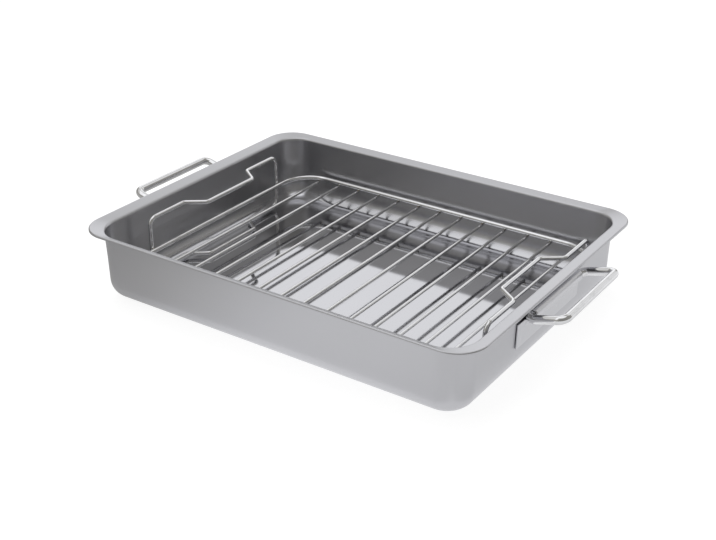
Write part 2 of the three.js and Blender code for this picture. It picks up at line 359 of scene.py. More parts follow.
class Graph:
    """Adds nodes to a node tree and links them."""

    def __init__(self, tree):
        self.tree = tree
        tree.nodes.clear()

    def add(self, kind, settings=None, inputs=None):
        node = self.tree.nodes.new(kind)
        for name, value in (settings or {}).items():
            setattr(node, name, value)
        for key, value in (inputs or {}).items():
            self.plug(port(node.inputs, key), value)
        return Outputs(self, node)

    def plug(self, socket, value):
        if isinstance(value, Signal):
            self.tree.links.new(value.socket, socket)
        elif socket.type == "RGBA":
            socket.default_value = (*value[:3], 1.0)
        else:
            socket.default_value = value

    def mix(self, factor, first, second):
        settings = {"data_type": "RGBA"}
        return self.add("ShaderNodeMix", settings, {"Factor": factor, "A": first, "B": second})["Result"]

    def smooth(self, value, low, high):
        """0 below low and 1 above high, with a soft step between them."""
        inputs = {"Value": value, "From Min": low, "From Max": high}
        return self.add("ShaderNodeMapRange", {"interpolation_type": "SMOOTHSTEP"}, inputs)["Result"]

    def larger(self, first, second):
        return self.add("ShaderNodeMath", {"operation": "MAXIMUM"}, {0: first, 1: second})[0]

    def cloud(self, vector, scale, detail):
        """Soft noise from 0 to 1."""
        inputs = {"Vector": vector, "Scale": scale, "Detail": detail}
        return self.add("ShaderNodeTexNoise", None, inputs)[0]

    def axes(self, vector):
        parts = self.add("ShaderNodeSeparateXYZ", None, {0: vector})
        return parts["X"], parts["Y"], parts["Z"]

    def point(self, x, y, z):
        return self.add("ShaderNodeCombineXYZ", None, {"X": x, "Y": y, "Z": z})[0]

    def bump(self, height, strength, distance):
        inputs = {"Strength": strength, "Distance": distance, "Height": height}
        return self.add("ShaderNodeBump", None, inputs)["Normal"]


def steel(name, tint):
    """A metal material: tint fills its graph and returns the shader's inputs."""
    material = bpy.data.materials.new(name)
    material.use_nodes = True
    graph = Graph(material.node_tree)
    inputs = {"Metallic": 1.0, "IOR": 1.5, **tint(graph)}
    shader = graph.add("ShaderNodeBsdfPrincipled", None, inputs)
    graph.add("ShaderNodeOutputMaterial", None, {"Surface": shader[0]})
    return material


def sheet_steel(name, base_colour, base_roughness, wall_roughness, rim_roughness):
    """Rolled sheet: fine grain that follows the bends, soft smudges, a bright base and satin walls."""
    rim_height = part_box("pan_body")[1].z
    grain_across, grain_along = 2600, 26
    smudge_scale, smudge_roughness, smudge_colour = 14.0, 0.04, 0.02

    def tint(graph):
        coordinates = graph.add("ShaderNodeTexCoord")
        here = coordinates["Object"]
        x, y, z = graph.axes(here)
        facing = [abs(part) for part in graph.axes(coordinates["Normal"])]
        on_end = graph.smooth(facing[0], 0.6, 0.8)
        on_side = graph.smooth(facing[1], 0.6, 0.8)
        across = y * (1 - on_side) + z * on_side
        along = x * (1 - on_end) + z * on_end
        lines = graph.cloud(graph.point(across * grain_across, along * grain_along, 0.0), 1.0, 3.0)
        smudges = graph.cloud(here, smudge_scale, 0.0)
        patchy = (smudges - 0.5) * smudge_roughness
        level_here = graph.smooth(facing[2], 0.5, 0.98)
        satin = wall_roughness + level_here * (base_roughness - wall_roughness)
        on_rim = graph.smooth(z, rim_height - 6 * MM, rim_height - 3 * MM)
        satin = satin + on_rim * (rim_roughness - satin)
        dark = tuple((1 - smudge_colour) * part for part in base_colour)
        light = tuple(min(1.0, (1 + smudge_colour) * part) for part in base_colour)
        return {
            "Base Color": graph.mix(smudges, dark, light),
            "Roughness": satin + patchy,
            "Normal": graph.bump(lines, 0.02, 0.03 * MM),
        }

    return steel(name, tint)


def wire_steel(name, base_colour, roughness):
    """Drawn and polished wire: faint lines along its length, dulled here and there."""

    def tint(graph):
        run, turn, _ = graph.axes(graph.add("ShaderNodeUVMap", {"uv_map": "wire"})[0])
        bearing = turn * (2 * math.pi)
        east = graph.add("ShaderNodeMath", {"operation": "COSINE"}, {0: bearing})[0]
        north = graph.add("ShaderNodeMath", {"operation": "SINE"}, {0: bearing})[0]
        lines = graph.cloud(graph.point(run * 40, east * 9, north * 9), 1.0, 3.0)
        dull = graph.cloud(graph.point(run * 120, east * 1.5, north * 1.5), 1.0, 3.0)
        dark = tuple(0.88 * part for part in base_colour)
        return {
            "Base Color": graph.mix(graph.smooth(dull, 0.45, 0.75), base_colour, dark),
            "Roughness": roughness + (lines - 0.5) * 0.08 + (dull - 0.5) * 0.12,
            "Normal": graph.bump(lines + dull * 0.4, 0.2, 0.05 * MM),
        }

    return steel(name, tint)


def weld_steel(name, base_colour):
    """Weld beads: duller metal with a fine ripple."""

    def tint(graph):
        here = graph.add("ShaderNodeTexCoord")["Object"]
        ripple = graph.cloud(here, 1800.0, 3.0)
        stain = graph.cloud(here, 500.0, 2.0)
        straw = tuple(part * shift for part, shift in zip(base_colour, (1.12, 1.0, 0.82)))
        return {
            "Base Color": graph.mix(graph.smooth(stain, 0.4, 0.65), base_colour, straw),
            "Roughness": 0.3 + ripple * 0.2,
            "Normal": graph.bump(ripple, 0.4, 0.1 * MM),
        }

    return steel(name, tint)


def finish(kind):
    """The material for a kind of piece, made once."""
    if kind in bpy.data.materials:
        return bpy.data.materials[kind]
    looks = values().steel
    makers = {
        "satin_sheet": lambda: sheet_steel(kind, tuple(looks.sheet_colour), *looks.sheet_finish()),
        # The brackets' lighter colour is painted light against the shade under the flange and handles
        "bracket_sheet": lambda: sheet_steel(kind, tuple(looks.bracket_colour), *looks.bracket_finish()),
        "polished_wire": lambda: wire_steel(kind, tuple(looks.wire_colour), looks.wire_roughness),
        "weld_bead": lambda: weld_steel(kind, tuple(looks.weld_colour)),
    }
    return makers[kind]()


# Pieces and meshes


def add_piece(name, mesh, body, kind, nodes):
    """Puts a mesh in the scene as a piece on its CAD body, in place of the CAD nodes named."""
    mesh.validate()
    mesh.polygons.foreach_set("use_smooth", [True] * len(mesh.polygons))
    mesh.materials.append(finish(kind))
    piece = bpy.data.objects.new(name, mesh)
    bpy.context.scene.collection.objects.link(piece)
    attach(piece, body)
    if nodes:
        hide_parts(*nodes)
    return piece


def mesh_of(name, points, faces):
    mesh = bpy.data.meshes.new(name)
    mesh.from_pydata([tuple(point) for point in points], [], faces)
    return mesh


def even(start, end, steps):
    return [start + (end - start) * k / steps for k in range(steps + 1)]


# Wires


class Route:
    """Stations along a bent wire: points, tangents and distances from the start."""

    def __init__(self, corners, closed=False):
        self.closed = closed
        self.points = []
        self.tangents = []
        count = len(corners)
        for k, (at, bend) in enumerate(corners):
            before = corners[k - 1][0]
            after = corners[(k + 1) % count][0]
            if not closed and k == 0:
                self.run_to(at, (after - at).normalized())
            elif not closed and k == count - 1:
                self.run_to(at, (at - before).normalized())
            else:
                self.turn(at, bend, (at - before).normalized(), (after - at).normalized())
        if closed:
            self.run_to(self.points[0], self.tangents[0])
            self.points.pop()
            self.tangents.pop()
        self.measure()

    def run_to(self, point, tangent):
        """A straight run to a point, with stations on the way."""
        if self.points:
            start = self.points[-1].copy()
            steps = max(1, round((point - start).length / RUN_STEP))
            for k in range(1, steps):
                self.points.append(start.lerp(point, k / steps))
                self.tangents.append(tangent.copy())
        self.points.append(point.copy())
        self.tangents.append(tangent.copy())

    def turn(self, at, bend, incoming, outgoing):
        """A round bend between two straight runs."""
        turned = incoming.angle(outgoing)
        side = (outgoing - incoming * math.cos(turned)).normalized()
        start = at - incoming * bend * math.tan(turned / 2)
        self.run_to(start, incoming)
        steps = max(2, math.ceil(turned / BEND_ANGLE))
        for k in range(1, steps + 1):
            a = turned * k / steps
            self.points.append(start + bend * (incoming * math.sin(a) + side * (1 - math.cos(a))))
            self.tangents.append(incoming * math.cos(a) + side * math.sin(a))

    def measure(self):
        self.distances = [0.0]
        loop = self.points + self.points[:1] if self.closed else self.points
        for start, end in zip(loop, loop[1:]):
            self.distances.append(self.distances[-1] + (end - start).length)
        self.length = self.distances[-1]

    def frames(self):
        """Two directions across the wire at each station, without twist along it."""
        first = self.tangents[0]
        along_no_wire = Vector((0.3, 0.2, 1.0))
        across = first.cross(along_no_wire).normalized()
        sets = []
        for tangent in self.tangents:
            across = (across - tangent * across.dot(tangent)).normalized()
            sets.append((across.copy(), tangent.cross(across)))
        if self.closed:
            back = (across - first * across.dot(first)).normalized()
            left = math.atan2(back.dot(sets[0][1]), back.dot(sets[0][0]))
            count = len(sets)
            for k, (u, v) in enumerate(sets):
                a = -left * k / count
                sets[k] = (u * math.cos(a) + v * math.sin(a), v * math.cos(a) - u * math.sin(a))
        return sets


def wire_mesh(name, route, radius, matrix=None, chamfer=0.0, swell=None):
    """Round wire along a route, with a UV map that runs along and round it."""
    rings = []
    frames = route.frames()
    for point, (u, v), distance in zip(route.points, frames, route.distances):
        rings.append((point, u, v, radius + (swell(distance) if swell else 0.0), distance))
    if not route.closed:
        rings = cut_end(rings, route, chamfer)
    points = []
    for point, u, v, r, _ in rings:
        for k in range(WIRE_SIDES):
            a = 2 * math.pi * k / WIRE_SIDES
            points.append(point + r * (u * math.cos(a) + v * math.sin(a)))
    faces = []
    marks = []
    last = len(rings) if route.closed else len(rings) - 1
    for i in range(last):
        j = (i + 1) % len(rings)
        near = rings[i][4]
        far = route.length if j == 0 else rings[j][4]
        a, b = i * WIRE_SIDES, j * WIRE_SIDES
        for k in range(WIRE_SIDES):
            k2 = (k + 1) % WIRE_SIDES
            faces.append((a + k, a + k2, b + k2, b + k))
            low, high = k / WIRE_SIDES, (k + 1) / WIRE_SIDES
            marks += [(near, low), (near, high), (far, high), (far, low)]
    if not route.closed:
        first = list(range(WIRE_SIDES))
        final = [(len(rings) - 1) * WIRE_SIDES + k for k in range(WIRE_SIDES)]
        faces.append(tuple(reversed(first)))
        faces.append(tuple(final))
        marks += [(0.0, k / WIRE_SIDES) for k in reversed(range(WIRE_SIDES))]
        marks += [(route.length, k / WIRE_SIDES) for k in range(WIRE_SIDES)]
    if matrix is not None:
        points = [matrix @ point for point in points]
    mesh = mesh_of(name, points, faces)
    layer = mesh.uv_layers.new(name="wire")
    for loop, mark in zip(layer.data, marks):
        loop.uv = mark
    return mesh


def cut_end(rings, route, chamfer):
    """Adds the small rounded edge that a cut and tumbled wire has at each end."""
    for at_end in (False, True):
        point, u, v, r, distance = rings[-1] if at_end else rings[0]
        outward = route.tangents[-1] if at_end else -route.tangents[0]
        rounded = []
        for k in range(CUT_STEPS + 1):
            a = math.pi / 2 * k / CUT_STEPS
            moved = point + outward * chamfer * (math.sin(a) - 1)
            rounded.append((moved, u, v, r - chamfer * (1 - math.cos(a)), distance))
        if at_end:
            rings = rings[:-1] + rounded
        else:
            rings = rounded[::-1] + rings[1:]
    return rings


# Pan


class PanShape:
    """Places on the pressed pan that several pieces share, from its sizes."""

    def __init__(self, sizes):
        self.sizes = sizes
        self.half_x = sizes.length / 2
        self.half_y = sizes.width / 2
        self.wall_x = self.half_x - sizes.end_flange
        self.wall_y = self.half_y - sizes.side_flange
        self.wall_top = sizes.height - sizes.flange_rise - sizes.sheet - sizes.rim_bend
        self.wall_corner = sizes.base_corner + sizes.base_fillet + sizes.wall_draft

    def end_wall(self, z):
        """How far out the end wall's outer face stands at a height above the fillet."""
        up = (z - self.sizes.base_fillet) / (self.wall_top - self.sizes.base_fillet)
        return self.wall_x - self.sizes.wall_draft * (1 - up)

    def wall(self, inset, z):
        return (self.wall_x - inset, self.wall_y - inset, self.wall_corner - inset, z)

    def rim(self, inset, z):
        return (self.half_x - inset, self.half_y - inset, self.sizes.rim_corner - inset, z)

    def bend(self, outline, inset, z, radius, start, end, steps):
        """Levels round a bend, by its middle, radius and end angles in degrees."""
        rows = []
        for degrees in even(start, end, steps):
            a = math.radians(degrees)
            rows.append(outline(inset - radius * math.cos(a), z + radius * math.sin(a)))
        return rows

    def base(self, z):
        """Levels across the flat base, from its middle out to the fillet."""
        edge = self.sizes.wall_draft + self.sizes.base_fillet
        return [self.wall(edge + inset, z) for inset in BASE_INSETS]

    def wall_rows(self, inset):
        """Levels up a wall between fillet and rim bend, sunk in a little at half height."""
        low, high = self.sizes.base_fillet, self.wall_top
        rows = []
        for up in WALL_LEVELS:
            lean = self.sizes.wall_draft * (1 - up)
            bow = self.sizes.wall_bow * math.sin(math.pi * up) ** 2
            rows.append(self.wall(inset + lean + bow, low + (high - low) * up))
        return rows

    def rows(self):
        """Levels up the outer face, round the flange and its lip, and down the inner face."""
        s = self.sizes
        edge = s.wall_draft + s.base_fillet
        lip_z = s.height - s.lip_bend
        lip_low = s.height - s.lip_drop
        soft = s.edge_round
        nook = 0.3 * soft
        over_sheet = s.rim_bend + s.sheet
        climb = 90 + FLANGE_CLIMB
        under_bend = self.bend(self.wall, -s.rim_bend, self.wall_top, s.rim_bend, 180, climb, BEND_STEPS)
        under_lip = self.bend(self.rim, s.lip_bend, lip_z, s.lip_bend - s.sheet, climb, 0, BEND_STEPS)
        over_lip = self.bend(self.rim, s.lip_bend, lip_z, s.lip_bend, 0, climb, BEND_STEPS)
        over_bend = self.bend(self.wall, -s.rim_bend, self.wall_top, over_sheet, climb, 180, BEND_STEPS)
        return [
            *self.base(0.0),
            *self.bend(self.wall, edge, s.base_fillet, s.base_fillet, -90, 0, FILLET_STEPS),
            *self.wall_rows(0.0),
            *under_bend,
            *self.between(under_bend[-1], under_lip[0]),
            *under_lip,
            self.rim(s.sheet, lip_low + 2 * soft),
            self.rim(s.sheet, lip_low + soft),
            self.rim(s.sheet - nook, lip_low + nook),
            self.rim(s.sheet - soft, lip_low),
            self.rim(soft, lip_low),
            self.rim(nook, lip_low + nook),
            self.rim(0.0, lip_low + soft),
            self.rim(0.0, lip_low + 2 * soft),
            *over_lip,
            *self.between(over_lip[-1], over_bend[0]),
            *over_bend,
            *reversed(self.wall_rows(s.sheet)),
            *self.bend(self.wall, edge, s.base_fillet, s.base_fillet - s.sheet, 0, -90, FILLET_STEPS),
            *reversed(self.base(s.sheet)),
        ]

    @staticmethod
    def between(first, last):
        """Levels on the straight part of the flange."""
        return [
            tuple(start + (end - start) * part for start, end in zip(first, last))
            for part in FLANGE_LEVELS
        ]


def rounded_rectangle(half_x, half_y, radius, z):
    """Points round a level, always the same number, anticlockwise from above."""
    r = max(radius, SMALLEST_CORNER)
    cx, cy = half_x - r, half_y - r
    centres = [(cx, cy), (-cx, cy), (-cx, -cy), (cx, -cy)]
    fractions = [SIDE_MARGIN, *[k / SIDE_STEPS for k in range(1, SIDE_STEPS)], 1 - SIDE_MARGIN]
    points = []
    for quarter, (x, y) in enumerate(centres):
        for k in range(CORNER_STEPS + 1):
            a = math.pi / 2 * (quarter + k / CORNER_STEPS)
            points.append(Vector((x + r * math.cos(a), y + r * math.sin(a), z)))
        start = points[-1]
        a = math.pi / 2 * (quarter + 1)
        nx, ny = centres[(quarter + 1) % 4]
        end = Vector((nx + r * math.cos(a), ny + r * math.sin(a), z))
        points += [start.lerp(end, fraction) for fraction in fractions]
    return points


def pan_mesh(name):
    """The pressed pan: one closed sheet, with a slightly crowned base."""
    shape = PanShape(values().pan)
    sizes = shape.sizes
    edge_x = shape.wall_x - sizes.wall_draft - sizes.base_fillet
    edge_y = shape.wall_y - sizes.wall_draft - sizes.base_fillet
    points = []
    rows = shape.rows()
    for half_x, half_y, radius, z in rows:
        for point in rounded_rectangle(half_x, half_y, radius, z):
            inside_x = max(0.0, 1 - (point.x / edge_x) ** 2)
            inside_y = max(0.0, 1 - (point.y / edge_y) ** 2)
            inside = inside_x * inside_y
            if inside > 0.0:
                wave = noise.noise(Vector((point.x * RIPPLE_SCALE, point.y * RIPPLE_SCALE, 0.0)))
                point.z += sizes.base_crown * inside * (1 + CROWN_RIPPLE * wave)
            points.append(point)
    count = len(points) // len(rows)
    faces = []
    for row in range(len(rows) - 1):
        for k in range(count):
            a = row * count + k
            b = row * count + (k + 1) % count
            faces.append((a, b, b + count, a + count))
    last = (len(rows) - 1) * count
    faces.append(tuple(reversed(range(count))))
    faces.append(tuple(last + k for k in range(count)))
    return mesh_of(name, points, faces)


class ROASTINGPAN_OT_pan(bpy.types.Operator):
    """Make the pressed pan"""

    bl_idname = "roasting_pan.pan"
    bl_label = "Pan"

    def execute(self, context):
        mesh = pan_mesh("pressed_pan")
        add_piece("pressed_pan", mesh, "pan", "satin_sheet", ["pan_body"])
        return {"FINISHED"}


# Brackets and handles


def end_matrix(side):
    """Turns a piece made for the right end to the end it belongs to."""
    return Matrix.Rotation(math.pi if side == "left" else 0.0, 4, "Z")


def bracket_path(sizes, shape, low):
    """The bracket's section along its middle surface, from its lower edge up and round the tips."""
    pivot = PIVOTS["right_handle"]
    half_sheet = sizes.sheet / 2
    roll = sizes.wire / 2 + sizes.play + half_sheet
    hollow = sizes.swell_bend + half_sheet

    def flat(z):
        return shape.end_wall(z) + sizes.play + half_sheet

    hollow_x = flat(pivot.z - roll - hollow) + hollow
    hollow_z = pivot.z - math.sqrt((roll + hollow) ** 2 - (hollow_x - pivot.x) ** 2)
    meet = math.atan2(pivot.z - hollow_z, pivot.x - hollow_x)
    steps = math.ceil((hollow_z - low) / SHEET_STEP)
    path = [(flat(z), z) for z in even(low, hollow_z, steps)[:-1]]
    for a in even(math.pi, meet, SWELL_STEPS)[:-1]:
        path.append((hollow_x + hollow * math.cos(a), hollow_z + hollow * math.sin(a)))
    for a in even(meet - math.pi, meet - math.pi + sizes.roll_wrap, ROLL_STEPS):
        path.append((pivot.x + roll * math.cos(a), pivot.z + roll * math.sin(a)))
    return path


def bracket_mesh(name, side):
    """Bracket sheet along its middle surface: a plate on the wall that swells out to a roll."""
    sizes = values().handle
    shape = PanShape(values().pan)
    pivot = PIVOTS["right_handle"]
    low = shape.sizes.base_fillet + sizes.rise
    shoulder = pivot.z - sizes.shoulder
    half_plate = sizes.span / 2 + sizes.margin
    half_roll = sizes.span / 2 - sizes.elbow - sizes.roll_end_play
    path = bracket_path(sizes, shape, low)

    margin_steps = math.ceil((half_plate - half_roll) / SHEET_STEP)
    middle_steps = 2 * math.ceil(half_roll / SHEET_STEP)
    columns = even(-half_plate, -half_roll, margin_steps)[:-1]
    columns += even(-half_roll, half_roll, middle_steps)[:-1]
    columns += even(half_roll, half_plate, margin_steps)

    weld_z = low + SPOT_LEVEL * (shoulder - low)
    welds = [half_plate * part for part in SPOT_PLACES]
    matrix = end_matrix(side)
    points = []
    top_row = 0
    for row, (x, z) in enumerate(path):
        if z < shoulder and top_row == row - 1:
            top_row = row
        flat = shape.end_wall(z) + sizes.play + sizes.sheet / 2
        for y in columns:
            apart = min(math.hypot(y - weld, z - weld_z) for weld in welds) / sizes.weld_spot
            dent = sizes.weld_depth * max(0.0, 1 - apart**4)
            out = 1 - min(1.0, max(0.0, (abs(y) - half_roll) / ROLL_EASE))
            eased = out * out * (3 - 2 * out)
            points.append(matrix @ Vector((flat + (x - flat) * eased - dent, y, z)))
    width = len(columns)
    faces = []
    for i in range(len(path) - 1):
        for k in range(width - 1):
            in_roll = margin_steps <= k < margin_steps + middle_steps
            if i >= top_row and not in_roll:
                continue
            a = i * width + k
            faces.append((a, a + 1, a + 1 + width, a + width))
    used = sorted({index for face in faces for index in face})
    renumbered = {index: k for k, index in enumerate(used)}
    kept = [tuple(renumbered[index] for index in face) for face in faces]
    return mesh_of(name, [points[index] for index in used], kept)


class ROASTINGPAN_OT_brackets(bpy.types.Operator):
    """Make the two rolled handle brackets"""

    bl_idname = "roasting_pan.brackets"
    bl_label = "Handle brackets"

    def execute(self, context):
        sizes = values().handle
        for side in ("left", "right"):
            name = f"rolled_bracket_{side}"
            mesh = bracket_mesh(name, side)
            nodes = [f"handle_bracket_{side}"]
            piece = add_piece(name, mesh, "pan", "bracket_sheet", nodes)
            thicken = piece.modifiers.new("sheet", "SOLIDIFY")
            thicken.thickness = sizes.sheet
            thicken.offset = 0.0
            soften = piece.modifiers.new("edges", "BEVEL")
            soften.width = 0.22 * MM
            soften.segments = 2
            soften.limit_method = "ANGLE"
            soften.angle_limit = math.radians(50)
        return {"FINISHED"}


def handle_route():
    """A handle lying level towards +X with its pivot line on the Y axis."""
    sizes = values().handle
    arm = sizes.span / 2
    tip = arm - sizes.tip
    return Route([
        (Vector((0, -tip, 0)), 0.0),
        (Vector((0, -arm, 0)), sizes.elbow),
        (Vector((sizes.reach, -arm, 0)), sizes.grip_corner),
        (Vector((sizes.reach, arm, 0)), sizes.grip_corner),
        (Vector((0, arm, 0)), sizes.elbow),
        (Vector((0, tip, 0)), 0.0),
    ])


class ROASTINGPAN_OT_handles(bpy.types.Operator):
    """Make the two folding wire handles"""

    bl_idname = "roasting_pan.handles"
    bl_label = "Handles"

    def execute(self, context):
        sizes = values().handle
        lift = math.asin(sizes.lift / sizes.reach)
        for side in ("left", "right"):
            name = f"wire_handle_{side}"
            body = f"{side}_handle"
            seat = Matrix.Translation(PIVOTS[body]) @ end_matrix(side) @ Matrix.Rotation(-lift, 4, "Y")
            mesh = wire_mesh(name, handle_route(), sizes.wire / 2, seat, chamfer=0.6 * MM)
            add_piece(name, mesh, body, "polished_wire", [f"handle_{side}"])
        return {"FINISHED"}


# Rack


def seam(route, at, sizes):
    """The low swelling of a butt weld, by distance along a wire."""

    def swell(distance):
        gap = abs(distance - at)
        gap = min(gap, route.length - gap)
        return sizes.seam_swell * math.exp(-((gap / SEAM_REACH) ** 2))

    return swell


class ROASTINGPAN_OT_ring(bpy.types.Operator):
    """Make the rack's ring"""

    bl_idname = "roasting_pan.ring"
    bl_label = "Rack ring"

    def execute(self, context):
        sizes = values().rack
        x, y = sizes.ring_length / 2, sizes.ring_width / 2
        signs = ((1, 1), (-1, 1), (-1, -1), (1, -1))
        corners = [(RACK_MIDDLE + Vector((a * x, b * y, 0)), sizes.ring_corner) for a, b in signs]
        route = Route(corners, closed=True)
        swell = seam(route, route.length * SEAM_PLACE, sizes)
        mesh = wire_mesh("ring_wire", route, sizes.ring_wire / 2, swell=swell)
        add_piece("ring_wire", mesh, "rack", "polished_wire", ["rack_ring"])
        return {"FINISHED"}


def cross_wire_reach(x):
    """Half the length of a cross wire at x from the rack's middle."""
    sizes = values().rack
    into_corner = max(0.0, abs(x) - (sizes.ring_length / 2 - sizes.ring_corner))
    drop = sizes.ring_corner - math.sqrt(sizes.ring_corner**2 - into_corner**2)
    return sizes.ring_width / 2 - drop + sizes.overhang


def cross_wire_places():
    """Name and middle of each cross wire, from the CAD."""
    sizes = values().rack
    under = sizes.ring_wire / 2 + sizes.cross_gap + sizes.cross_wire / 2
    places = []
    for node in CROSS_WIRES:
        low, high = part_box(node)
        middle = (low + high) / 2
        places.append((node, Vector((middle.x, RACK_MIDDLE.y, RACK_MIDDLE.z - under))))
    return places


class ROASTINGPAN_OT_cross_wires(bpy.types.Operator):
    """Make the rack's cross wires"""

    bl_idname = "roasting_pan.cross_wires"
    bl_label = "Cross wires"

    def execute(self, context):
        sizes = values().rack
        for node, middle in cross_wire_places():
            name = node.replace("rack_wire", "cross_wire")
            reach = Vector((0, cross_wire_reach(middle.x - RACK_MIDDLE.x), 0))
            route = Route([(middle - reach, 0.0), (middle + reach, 0.0)])
            mesh = wire_mesh(name, route, sizes.cross_wire / 2, chamfer=0.4 * MM)
            add_piece(name, mesh, "rack", "polished_wire", [node])
        return {"FINISHED"}


def frame_route(sizes):
    """An end frame for the +X end, with its posts in the plane X = 0."""
    post = sizes.post_spacing / 2
    outer = post - sizes.outer_run
    inner = outer - sizes.jog_slant

    def bar(z, toward):
        return [
            (Vector((0, -toward * post, z)), sizes.frame_corner),
            (Vector((0, -toward * outer, z)), sizes.jog_bend),
            (Vector((-sizes.jog_depth, -toward * inner, z)), sizes.jog_bend),
            (Vector((-sizes.jog_depth, toward * inner, z)), sizes.jog_bend),
            (Vector((0, toward * outer, z)), sizes.jog_bend),
            (Vector((0, toward * post, z)), sizes.frame_corner),
        ]

    return Route([*bar(sizes.foot_bar, 1), *bar(sizes.top_bar, -1)], closed=True)


class ROASTINGPAN_OT_end_frames(bpy.types.Operator):
    """Make the rack's two end frames"""

    bl_idname = "roasting_pan.end_frames"
    bl_label = "End frames"

    def execute(self, context):
        sizes = values().rack
        middle = Vector((RACK_MIDDLE.x, RACK_MIDDLE.y, 0))
        plane = Matrix.Translation((sizes.frame_spacing / 2, 0, 0))
        route = frame_route(sizes)
        for side in ("left", "right"):
            name = f"end_frame_{side}"
            seat = Matrix.Translation(middle) @ end_matrix(side) @ plane
            mesh = wire_mesh(name, route, sizes.frame_wire / 2, seat)
            add_piece(name, mesh, "rack", "polished_wire", [f"rack_end_frame_{side}"])
        return {"FINISHED"}


def bead(points, faces, middle, radii):
    """Adds one weld bead, a squeezed drop of metal."""
    start = len(points)
    for i in range(1, BEAD_ROWS):
        tilt = math.pi * i / BEAD_ROWS
        for k in range(BEAD_SIDES):
            a = 2 * math.pi * k / BEAD_SIDES
            around = Vector((math.sin(tilt) * math.cos(a), math.sin(tilt) * math.sin(a), math.cos(tilt)))
            points.append(middle + Vector(part * r for part, r in zip(around, radii)))
    top = len(points)
    points.append(middle + Vector((0, 0, radii[2])))
    points.append(middle - Vector((0, 0, radii[2])))
    for i in range(BEAD_ROWS - 2):
        for k in range(BEAD_SIDES):
            a = start + i * BEAD_SIDES + k
            b = start + i * BEAD_SIDES + (k + 1) % BEAD_SIDES
            faces.append((a, a + BEAD_SIDES, b + BEAD_SIDES, b))
    low = start + (BEAD_ROWS - 2) * BEAD_SIDES
    for k in range(BEAD_SIDES):
        k2 = (k + 1) % BEAD_SIDES
        faces.append((top, start + k, start + k2))
        faces.append((top + 1, low + k2, low + k))


class ROASTINGPAN_OT_welds(bpy.types.Operator):
    """Make the weld beads between the rack's wires"""

    bl_idname = "roasting_pan.welds"
    bl_label = "Weld beads"

    def execute(self, context):
        sizes = values().rack
        points = []
        faces = []
        for _, middle in cross_wire_places():
            reach = cross_wire_reach(middle.x - RACK_MIDDLE.x) - sizes.overhang
            z = RACK_MIDDLE.z - sizes.ring_wire / 2 - sizes.cross_gap / 2
            for way in (-1, 1):
                at = Vector((middle.x, middle.y + way * reach, z))
                bead(points, faces, at, CROSS_BEAD)
        ring_side = sizes.ring_length / 2 + sizes.ring_wire / 2
        post_side = sizes.frame_spacing / 2 - sizes.frame_wire / 2
        for end in (-1, 1):
            for way in (-1, 1):
                x = end * (ring_side + post_side) / 2
                at = RACK_MIDDLE + Vector((x, way * sizes.post_spacing / 2, 0))
                bead(points, faces, at, POST_BEAD)
        mesh = mesh_of("weld_beads", points, faces)
        add_piece("weld_beads", mesh, "rack", "weld_bead", [])
        return {"FINISHED"}


# Stage


# Directions of the sweep and the lights, and the light's tints where it is dim and where it is bright
SWEEP_WAY = Vector((-0.532, 0.776, 0.342)).normalized()
STRIP_WAY = Vector((0.1, 0.72, 0.69)).normalized()
SIDE_WAY = Vector((0.366, 0.907, 0.208)).normalized()
WARM_LIGHT = (1.0, 0.98, 0.92)
COOL_LIGHT = (0.985, 0.99, 1.0)
WHITE_LIGHT = (1.0, 1.0, 1.0)


def studio_world(looks):
    """White for the camera. The steel sees a dim room with bright areas behind, beside and overhead."""
    world = bpy.data.worlds.new("studio")
    world.use_nodes = True
    graph = Graph(world.node_tree)
    toward = graph.add("ShaderNodeTexCoord")["Generated"]
    right, back, up = graph.axes(toward)

    def spot(way, edge, middle):
        """1 close to a direction and 0 away from it, by the cosines of the two angles."""
        inputs = {0: toward, 1: tuple(way)}
        cosine = graph.add("ShaderNodeVectorMath", {"operation": "DOT_PRODUCT"}, inputs)["Value"]
        return graph.smooth(cosine, edge, middle)

    front = looks.front_room + graph.smooth(right, -0.3, 0.3) * (looks.far_room - looks.front_room)
    room = front + graph.smooth(back, -0.5, 0.6) * (looks.back_room - front)
    glow = room + spot(SWEEP_WAY, 0.85, 0.98) * (looks.sweep - room)
    glow = glow * (0.9 + 0.1 * graph.smooth(up, 0.0, 0.42))
    glow = glow + graph.smooth(up, 0.86, 0.97) * (looks.ceiling - glow)

    # The panel is cut off at its right, below and behind, and fades to the far left
    at_left = 1 - graph.smooth(right, -0.3, -0.1)
    fading = 0.45 + 0.55 * graph.smooth(right, -0.56, -0.42)
    overhead = at_left * fading * graph.smooth(up, 0.5, 0.62) * (1 - graph.smooth(back, 0.38, 0.52))
    glow = glow + overhead * (looks.panel - glow)
    glow = glow + spot(SIDE_WAY, 0.927, 0.97) * (looks.side - glow)
    glow = glow + spot(STRIP_WAY, 0.93, 0.985) * (looks.strip - glow)

    to_camera = graph.add("ShaderNodeLightPath")["Is Camera Ray"]
    strength = glow * (1 - to_camera) + to_camera
    tint = graph.mix(graph.smooth(glow, 0.35, 0.95), WARM_LIGHT, COOL_LIGHT)
    tint = graph.mix(to_camera, tint, WHITE_LIGHT)
    background = graph.add("ShaderNodeBackground", None, {"Color": tint, "Strength": strength})
    graph.add("ShaderNodeOutputWorld", None, {"Surface": background[0]})
    return world


